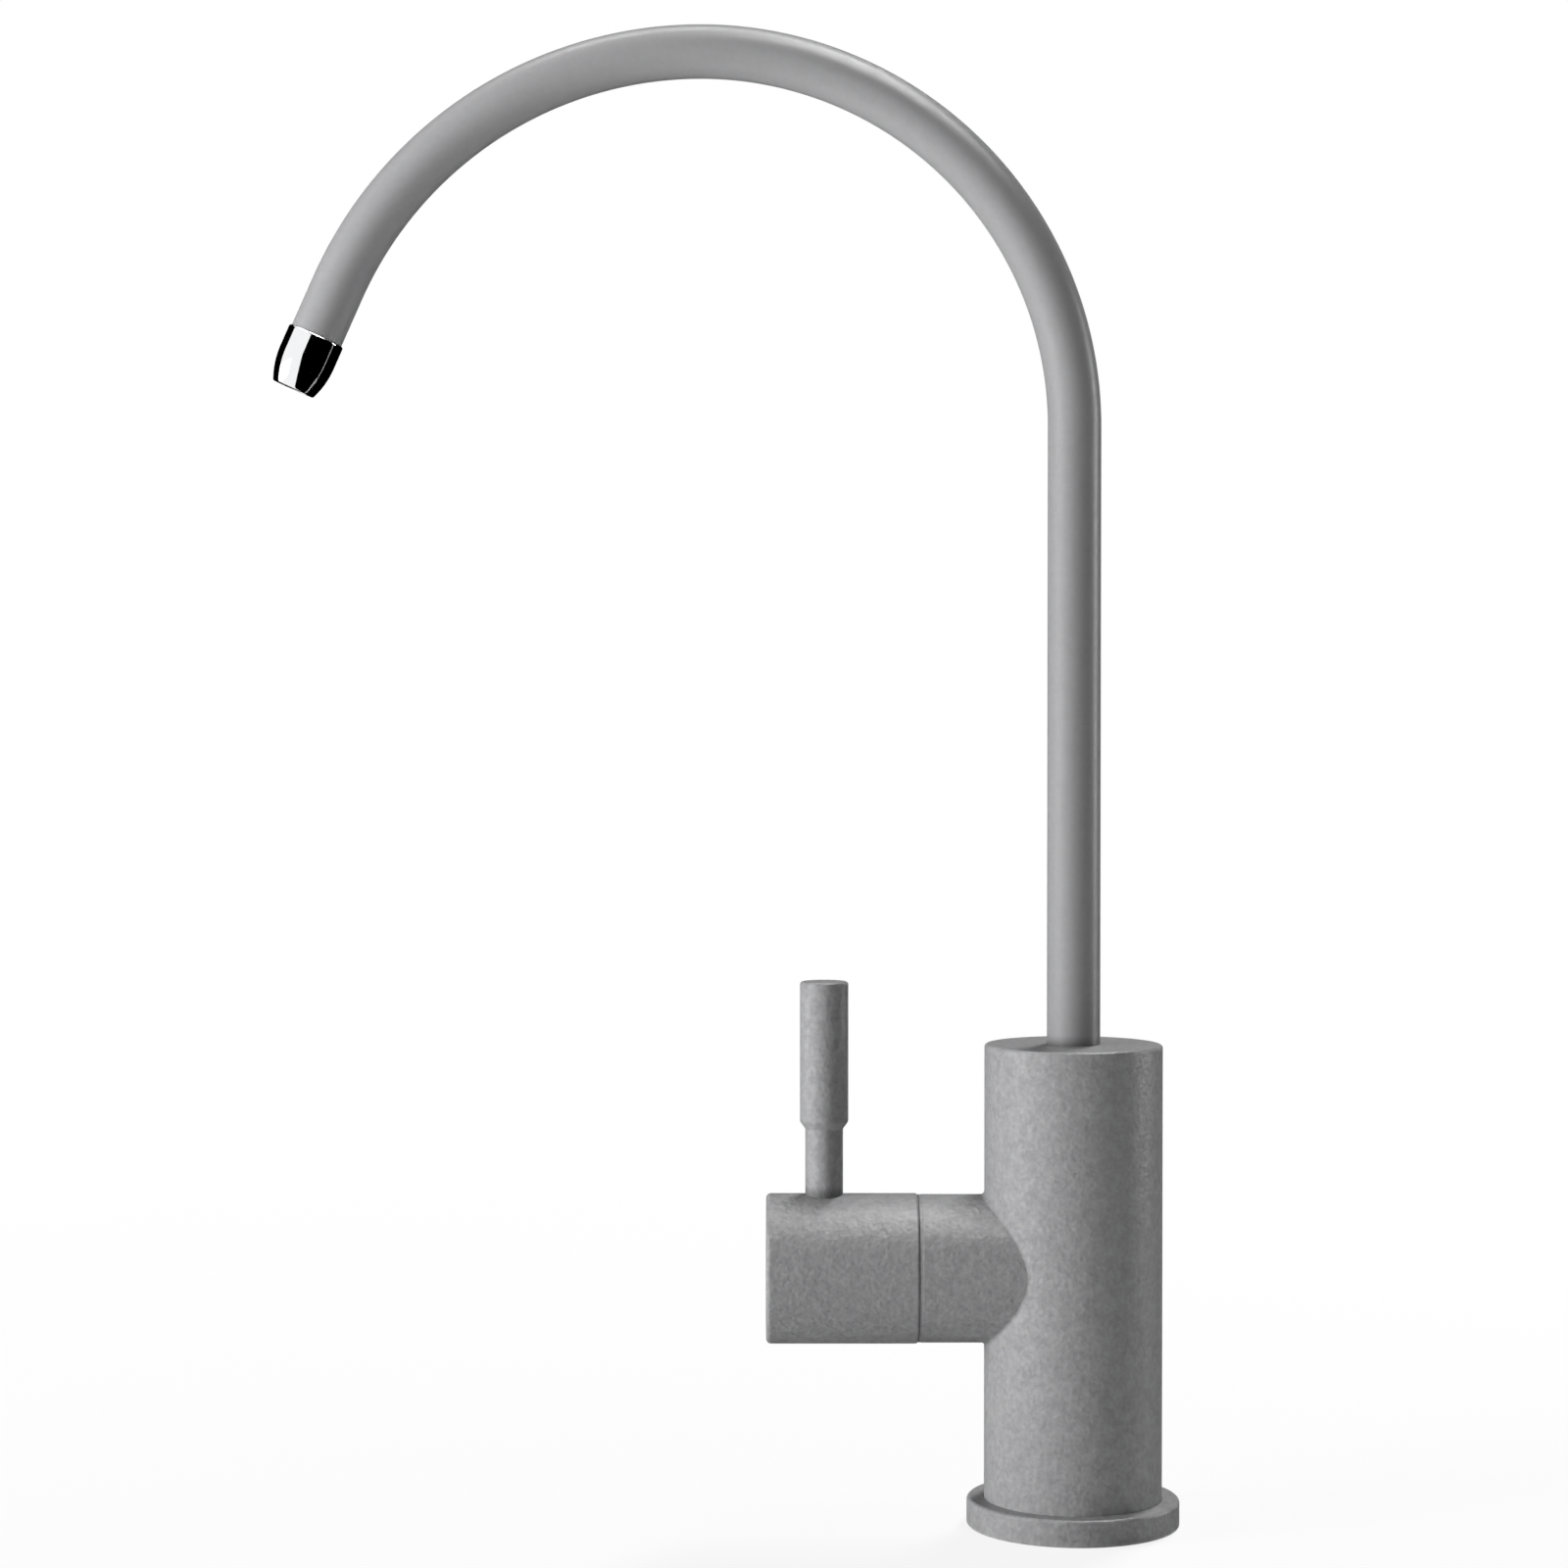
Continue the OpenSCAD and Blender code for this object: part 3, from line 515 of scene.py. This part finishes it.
def lever():
    """Pin lever turned from one bar: thread, stem, taper and grip."""
    thread_end_h = LEVER_SEAT_H - LEVER_THREAD_L
    points = [
        (0.0, thread_end_h), (LEVER_THREAD_R, thread_end_h), (LEVER_THREAD_R, LEVER_SEAT_H),
        (LEVER_STEM_R, LEVER_SEAT_H), (LEVER_STEM_R, LEVER_TAPER_H), (LEVER_R, LEVER_GRIP_H),
        (LEVER_R, LEVER_TOP_H), (0.0, LEVER_TOP_H),
    ]
    rings = [
        (LEVER_STEM_R, LEVER_TAPER_H, LEVER_STEP_EDGE), (LEVER_R, LEVER_GRIP_H, LEVER_STEP_EDGE),
        (LEVER_R, LEVER_TOP_H, LEVER_TOP_EDGE),
    ]
    bm = turned(points, rings, Matrix.Translation((LEVER_X, 0, BARREL_Z)), LEVER_STEPS)
    piece_from(bm, "lever_pin", "handle", COAT_LEVER, ["lever"])


def branch_fillet():
    """Small hollow fillet of coat in the corner where the side branch meets the column.

    It is as wide as a ball rolled along the corner leaves it, so it narrows where the corner opens.
    """
    bm = bmesh.new()
    loop = bmesh.ops.create_circle(bm, cap_ends=False, radius=BRANCH_R, segments=FILLET_STEPS)["verts"]
    bmesh.ops.rotate(bm, cent=(0, 0, 0), matrix=Matrix.Rotation(math.radians(90), 3, "Y"), verts=loop)
    edges = bm.edges[:]
    loops = [loop]
    for _ in range(FILLET_ROWS):
        made = bmesh.ops.extrude_edge_only(bm, edges=edges)["geom"]
        loops.append(new_verts(made))
        edges = open_edges(made)

    def column_point(angle, r):
        y = r * math.sin(angle)
        return Vector((-math.sqrt(COLUMN_R ** 2 - y ** 2), y, r * math.cos(angle)))

    for row, verts in enumerate(loops):
        t = row / FILLET_ROWS
        hollow = 2 * t * (1 - t)
        for vert in verts:
            angle = math.atan2(vert.co.y, vert.co.z)
            corner = column_point(angle, BRANCH_R)
            opening = math.acos(corner.y * math.sin(angle) / COLUMN_R)
            width = BRANCH_FILLET * math.tan(opening / 2)
            on_branch = corner - Vector((width, 0, 0))
            on_column = column_point(angle, BRANCH_R + width)
            point = (1 - t) ** 2 * on_branch + hollow * corner + t ** 2 * on_column
            out = Vector((0, math.sin(angle), math.cos(angle)))
            vert.co = point - FILLET_SINK * (1 - 2 * hollow) * out
    bmesh.ops.translate(bm, vec=(0, 0, BARREL_Z), verts=bm.verts)
    bmesh.ops.recalc_face_normals(bm, faces=bm.faces)
    if sum(face.normal.x for face in bm.faces) > 0:
        bmesh.ops.reverse_faces(bm, faces=bm.faces)
    piece_from(bm, "branch_fillet", "tap_body", COAT)


def branch_land():
    """Thin land on the branch's end that the hub runs against, which closes the parting line from sight."""
    corners = ring_corners(LAND_R, (BRANCH_L - LAND_SEAT, BRANCH_L + LAND_H))
    place = Matrix.Translation((0, 0, BARREL_Z)) @ Matrix.Rotation(math.radians(-90), 4, "Y")
    outer_rim = (LAND_R[1], BRANCH_L + LAND_H, LAND_EDGE)
    bm = turned([*corners, corners[0]], [outer_rim], place, LAND_STEPS)
    piece_from(bm, "branch_land", "tap_body", COAT)


def threaded_shank():
    """Hollow stud with its screw thread, an undercut below the lock nut and a chamfered end."""
    bm = bmesh.new()
    turns = math.ceil((SHANK_TOP_Z - SHANK_FOOT_Z) / THREAD_PITCH) + 2
    points = []
    for turn in range(turns):
        z = SHANK_FOOT_Z - THREAD_PITCH + turn * THREAD_PITCH
        points.append((SHANK_ROOT_R, z))
        points += [(SHANK_R, z + share * THREAD_PITCH) for share in THREAD_CREST]
    draw_outline(bm, points)
    bmesh.ops.spin(bm, geom=bm.verts[:] + bm.edges[:], cent=(0, 0, 0), axis=(0, 0, 1),
                   dvec=(0, 0, THREAD_PITCH / SHANK_STEPS), angle=math.tau, steps=SHANK_STEPS)
    bmesh.ops.remove_doubles(bm, verts=bm.verts, dist=THREAD_MERGE)
    cut_across(bm, SHANK_FOOT_Z, up=-1, clear=True)
    cut_across(bm, SHANK_TOP_Z, up=1, clear=True)
    for z in THREAD_GAP_Z:
        cut_across(bm, z)
    for vert in bm.verts:
        r = math.hypot(vert.co.x, vert.co.y)
        limit = SHANK_R - max(0.0, SHANK_FOOT_Z + SHANK_CHAMFER - vert.co.z)
        if THREAD_GAP_Z[0] + NEAR < vert.co.z < THREAD_GAP_Z[1] - NEAR:
            limit = SHANK_ROOT_R
        if r > limit:
            vert.co.x *= limit / r
            vert.co.y *= limit / r
    rims = open_edges(bm.edges)
    for z in (SHANK_FOOT_Z, SHANK_TOP_Z):
        rim = [edge for edge in rims if all(abs(vert.co.z - z) < RIM_NEAR for vert in edge.verts)]
        made = bmesh.ops.create_circle(bm, cap_ends=False, radius=SHANK_BORE_R,
                                       segments=SHANK_STEPS)["verts"]
        bmesh.ops.translate(bm, vec=(0, 0, z), verts=made)
        bore = list({edge for vert in made for edge in vert.link_edges})
        bmesh.ops.bridge_loops(bm, edges=rim + bore)
    bmesh.ops.bridge_loops(bm, edges=open_edges(bm.edges))
    bmesh.ops.recalc_face_normals(bm, faces=bm.faces)
    piece_from(bm, "shank_thread", "tap_body", BRASS, ["inlet_shank"])


def washer(name, material, node, radii, heights, rounding):
    """A flat ring with rounded edges in place of a CAD ring."""
    corners = ring_corners(radii, heights)
    rings = [(r, h, rounding) for r, h in corners]
    bm = turned([*corners, corners[0]], rings, Matrix.Identity(4), WASHER_STEPS)
    piece_from(bm, name, "tap_body", material, [node])


# Studio
def background_rays(tree):
    """1 for the rays that show the background: camera, glossy and transmission rays."""
    path = add_node(tree, "ShaderNodeLightPath")
    first = add_node(tree, "ShaderNodeMath", operation="MAXIMUM")
    second = add_node(tree, "ShaderNodeMath", operation="MAXIMUM")
    tree.links.new(path.outputs["Is Camera Ray"], first.inputs[0])
    tree.links.new(path.outputs["Is Glossy Ray"], first.inputs[1])
    tree.links.new(first.outputs["Value"], second.inputs[0])
    tree.links.new(path.outputs["Is Transmission Ray"], second.inputs[1])
    return second.outputs["Value"]


def pale_floor():
    """The floor's finish: matt near the tap, where it keeps the shadow, and white further off."""
    material, tree, surface = bare_material("pale_floor")
    # The white lights nothing, so no light samples are spent on it
    material.cycles.emission_sampling = "NONE"
    lit = add_node(tree, "ShaderNodeBsdfDiffuse", {"Color": FLOOR_TONE})
    white = add_node(tree, "ShaderNodeEmission", {"Color": WHITE, "Strength": 1.0})
    mix = add_node(tree, "ShaderNodeMixShader")
    place = add_node(tree, "ShaderNodeTexCoord")
    away = add_node(tree, "ShaderNodeVectorMath", operation="LENGTH")
    reach = {"From Min": FLOOR_FADE[0], "From Max": FLOOR_FADE[1], "To Min": FLOOR_WHITE_NEAR, "To Max": 1.0}
    fade = add_node(tree, "ShaderNodeMapRange", reach)
    share = add_node(tree, "ShaderNodeMath", operation="MULTIPLY")
    tree.links.new(place.outputs["Object"], away.inputs[0])
    tree.links.new(away.outputs["Value"], fade.inputs["Value"])
    tree.links.new(fade.outputs["Result"], share.inputs[0])
    tree.links.new(background_rays(tree), share.inputs[1])
    tree.links.new(share.outputs["Value"], mix.inputs["Fac"])
    tree.links.new(lit.outputs["BSDF"], mix.inputs[1])
    tree.links.new(white.outputs["Emission"], mix.inputs[2])
    tree.links.new(mix.outputs["Shader"], surface)
    return material


def studio_floor():
    """Pale floor that keeps the shadow near the tap and runs out to white."""
    bm = bmesh.new()
    bmesh.ops.create_grid(bm, x_segments=1, y_segments=1, size=FLOOR_HALF)
    bmesh.ops.translate(bm, vec=(0, 0, FLOOR_Z), verts=bm.verts)
    floor = linked_object(bm, "studio_floor", pale_floor())


def studio_world(fill):
    """White background round the tap, and a softer fill for its matt surfaces."""
    world = bpy.data.worlds.new("studio")
    bpy.context.scene.world = world
    world.use_nodes = True
    tree = world.node_tree
    tree.nodes.clear()
    out = add_node(tree, "ShaderNodeOutputWorld")
    soft = add_node(tree, "ShaderNodeBackground", {"Color": WHITE, "Strength": fill})
    white = add_node(tree, "ShaderNodeBackground", {"Color": WHITE, "Strength": 1.0})
    mix = add_node(tree, "ShaderNodeMixShader")
    tree.links.new(background_rays(tree), mix.inputs["Fac"])
    tree.links.new(soft.outputs["Background"], mix.inputs[1])
    tree.links.new(white.outputs["Background"], mix.inputs[2])
    tree.links.new(mix.outputs["Shader"], out.inputs["Surface"])


def round_tap(azimuth, elevation, distance):
    """A place round the tap: azimuth 0 is the camera's side and 90 the right, in degrees and metres."""
    turn, rise = math.radians(azimuth), math.radians(elevation)
    way = Vector((math.cos(rise) * math.sin(turn), -math.cos(rise) * math.cos(turn), math.sin(rise)))
    return TAP_MIDDLE + way * distance


def soft_box(name, place, width, height, power, aim=TAP_MIDDLE, matt=True, gloss=True):
    """A soft studio lamp at a place, pointed at an aim, which may be seen by matt or by gloss alone."""
    lamp = bpy.data.lights.new(name, "AREA")
    lamp.shape = "RECTANGLE"
    lamp.size = width
    lamp.size_y = height
    lamp.energy = power
    box = bpy.data.objects.new(name, lamp)
    bpy.context.scene.collection.objects.link(box)
    box.location = place
    box.rotation_euler = (aim - place).to_track_quat("-Z", "Y").to_euler()
    box.visible_camera = False
    box.visible_diffuse = matt
    box.visible_glossy = gloss
    return box


def arch_lamp(power):
    """A small lamp behind a grid, which adds a soft light to the front of the spout's arch."""
    box = soft_box("arch_light", ARCH_LAMP_PLACE, ARCH_LAMP_SIZE, ARCH_LAMP_SIZE, power,
                   aim=ARCH_MIDDLE, gloss=False)
    box.data.spread = ARCH_LAMP_SPREAD


def black_flag(first, last, radius, height):
    """Black studio cloth on the floor from below the outlet to a wall, which only gloss reflects."""
    bm = bmesh.new()
    draw_outline(bm, [(FLAG_HOLE_R, FLAG_LIFT), (radius, FLAG_LIFT), (radius, height)])
    turn = Matrix.Rotation(math.radians(first - 90), 3, "Z")
    bmesh.ops.rotate(bm, cent=(0, 0, 0), matrix=turn, verts=bm.verts)
    bmesh.ops.spin(bm, geom=bm.verts[:] + bm.edges[:], cent=(0, 0, 0), axis=(0, 0, 1),
                   angle=math.radians(last - first), steps=FLAG_STEPS)
    bmesh.ops.translate(bm, vec=(FLAG_X, 0, 0), verts=bm.verts)
    material, tree, surface = bare_material("black_cloth")
    black = add_node(tree, "ShaderNodeEmission", {"Color": BLACK, "Strength": 0.0})
    tree.links.new(black.outputs["Emission"], surface)
    flag = linked_object(bm, "black_flag", material)
    flag.visible_camera = False
    flag.visible_diffuse = False
    flag.visible_shadow = False
    flag.visible_transmission = False


def photo_camera():
    """Level side view, a little above the tap's middle."""
    camera = bpy.data.cameras.new("photo_camera")
    camera.sensor_width = SENSOR_MM
    camera.lens = SENSOR_MM * FOCAL_PX / FRAME_PX
    camera.clip_start = 0.01
    camera.clip_end = 100.0
    view = bpy.data.objects.new("photo_camera", camera)
    bpy.context.scene.collection.objects.link(view)
    view.location = CAMERA_PLACE
    view.rotation_euler = (math.radians(90) - CAMERA_TILT, 0.0, 0.0)
    bpy.context.scene.camera = view


# Finishes: the cast pieces are more speckled than the tube, and the gland's brass is painted dark as shade
# behind the parting line
GRAIN = grain_group()
LATHE = lathe_group()
FOOT = foot_group()
CAST_TONES = ((0.23, 0.23, 0.235), (0.315, 0.315, 0.32))
TUBE_TONES = ((0.253, 0.253, 0.258), (0.27, 0.27, 0.275))
COAT = speckled_coat("speckled_coat_cast", *CAST_TONES, rough=0.4, bump=0.5, mottle=480.0)
COAT_LEVER = speckled_coat("speckled_coat_lever", *CAST_TONES, rough=0.4, bump=0.5, mottle=480.0)
COAT_TUBE = speckled_coat("speckled_coat_tube", *TUBE_TONES, rough=0.38, bump=0.03, mottle=500.0)
# Painted shade: the tube and the lever's stem are darkened just above their joints with the column and the
# hub
shade_foot(COAT_TUBE, COLUMN_TOP_Z)
shade_foot(COAT_LEVER, BARREL_Z + HUB_R)
CHROME = polished_chrome()
# Brass painted dark as the shade in the gap behind the parting line, for the gland
GLAND_SHADE_BRASS = machined_metal("brass_painted_shade", (0.10, 0.085, 0.06), (0.15, 0.125, 0.085),
                            rough=0.5, stretch=(6.0, 1.0, 1.0))
BRASS = machined_metal("machined_brass", (0.62, 0.44, 0.17), (0.74, 0.55, 0.24),
                       rough=0.3, stretch=(1.0, 1.0, 6.0))
STEEL = machined_metal("stainless_steel", (0.52, 0.53, 0.54), (0.62, 0.63, 0.64),
                       rough=0.34, stretch=(1.0, 6.0, 1.0))
RUBBER = moulded("black_rubber", (0.018, 0.018, 0.018), (0.04, 0.04, 0.04),
                 rough=0.7, bump=0.2, mottle=900.0)
ACETAL = moulded("white_acetal", (0.74, 0.74, 0.72), (0.82, 0.82, 0.8),
                 rough=0.42, bump=0.05, mottle=400.0)
CERAMIC = moulded("alumina_ceramic", (0.82, 0.8, 0.74), (0.9, 0.88, 0.83),
                  rough=0.18, bump=0.03, mottle=1200.0)

FINISHES = {
    "speckled_coat": COAT, "chrome": CHROME, "brass": BRASS, "steel": STEEL,
    "rubber": RUBBER, "acetal": ACETAL, "ceramic": CERAMIC,
}
for part in frame["record"]["subparts"]:
    node = frame["nodes"][part["node"]]
    node.data.materials.clear()
    node.data.materials.append(FINISHES[part["material_slot"]])
# The gland gets the brass with painted shade
frame["nodes"]["valve_gland"].data.materials[0] = GLAND_SHADE_BRASS

# The dressed tap
photo_camera()
spout_tube()
outlet_nozzle()
lever()
branch_fillet()
branch_land()
threaded_shank()
washer("gasket_ring", RUBBER, "base_gasket", GASKET_R, GASKET_Z, GASKET_EDGE)
washer("deck_seal_ring", RUBBER, "deck_seal", DECK_SEAL_R, DECK_SEAL_Z, DECK_SEAL_EDGE)
washer("deck_washer_disc", STEEL, "deck_washer", DECK_WASHER_R, DECK_WASHER_Z, DECK_WASHER_EDGE)

# Light: lamps for the matt tone are named soft, and lamps that only show in gloss are named shine
studio_floor()
studio_world(0.03)
soft_box("key_soft", round_tap(-68, 0, 1.3), width=0.6, height=0.7, power=34.9, gloss=False)
soft_box("key_shine", round_tap(-72, 0, 1.3), width=1.0, height=0.7, power=3.6, matt=False)
soft_box("right_soft", round_tap(90, 10, 1.3), width=0.3, height=0.9, power=4.0, gloss=False)
soft_box("right_shine", round_tap(100, 5, 1.3), width=0.3, height=0.9, power=6.0, matt=False)
soft_box("rim_soft", round_tap(150, 45, 1.3), width=0.3, height=0.6, power=18.5, gloss=False)
soft_box("shoulder_shine", round_tap(65, 67, 1.36), width=0.9, height=0.7, power=18.0, matt=False)
soft_box("band_shine", round_tap(180, 80, 1.2), width=1.0, height=0.3, power=7.2, matt=False)
soft_box("top_soft", round_tap(0, 89, 1.2), width=0.6, height=0.6, power=2.5, gloss=False)
arch_lamp(power=0.028)
black_flag(first=-10, last=265, radius=1.7, height=2.0)

scene = bpy.context.scene
scene.view_settings.view_transform = "Standard"
